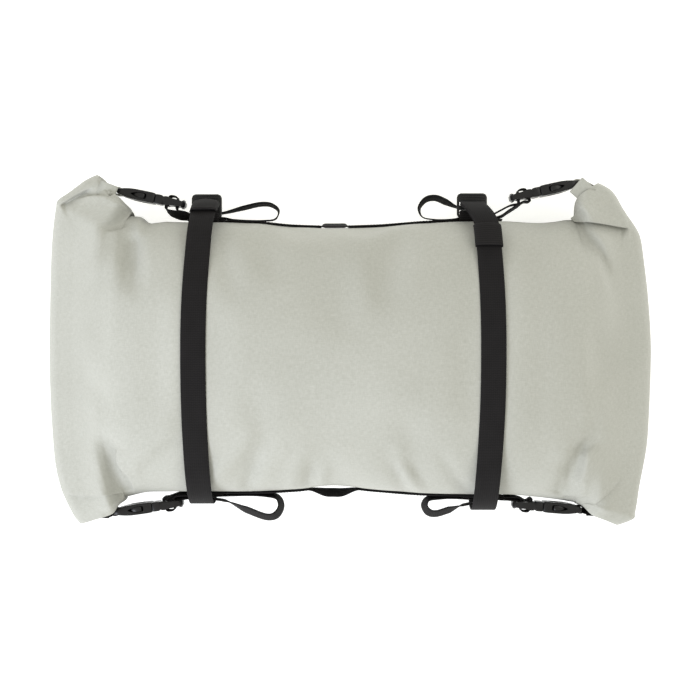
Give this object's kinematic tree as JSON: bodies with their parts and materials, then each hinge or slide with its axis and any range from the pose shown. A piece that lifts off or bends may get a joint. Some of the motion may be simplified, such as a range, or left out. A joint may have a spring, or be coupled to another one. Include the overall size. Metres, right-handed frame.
{
  "type": "handlebar bag",
  "caption": "Handlebar bag for a bicycle: a soft coated-fabric tube rolled shut at both ends, bound by webbing straps and held by quick-release buckles.",
  "frame": {"origin": "under the middle of the bag, on the surface that it lies on", "axes": "+X along the bag towards its right rolled end, +Y towards its top edge, +Z out of its front panel"},
  "size_m": [0.6218, 0.3676, 0.176],
  "materials": {
    "coated_fabric": "matte coated weave, pale green-grey",
    "webbing": "matte ribbed nylon, black",
    "moulded_plastic": "satin, black",
    "elastic": "matte knitted elastic, black"
  },
  "bodies": {
    "root": {"fabric_shell": "coated_fabric", "main_strap_left": "webbing", "ladder_lock_left": "moulded_plastic", "strap_keeper_left": "elastic", "main_strap_right": "webbing", "ladder_lock_right": "moulded_plastic", "strap_keeper_right": "elastic", "edge_webbing_top": "webbing", "edge_webbing_bottom": "webbing", "buckle_female_top_left": "moulded_plastic", "buckle_male_top_left": "moulded_plastic", "adjusting_strap_top_left": "webbing", "roll_tab_top_left": "coated_fabric", "buckle_female_top_right": "moulded_plastic", "buckle_male_top_right": "moulded_plastic", "adjusting_strap_top_right": "webbing", "roll_tab_top_right": "coated_fabric", "buckle_female_bottom_left": "moulded_plastic", "buckle_male_bottom_left": "moulded_plastic", "adjusting_strap_bottom_left": "webbing", "roll_tab_bottom_left": "webbing", "buckle_female_bottom_right": "moulded_plastic", "buckle_male_bottom_right": "moulded_plastic", "adjusting_strap_bottom_right": "webbing", "roll_tab_bottom_right": "webbing"}
  },
  "joints": []
}
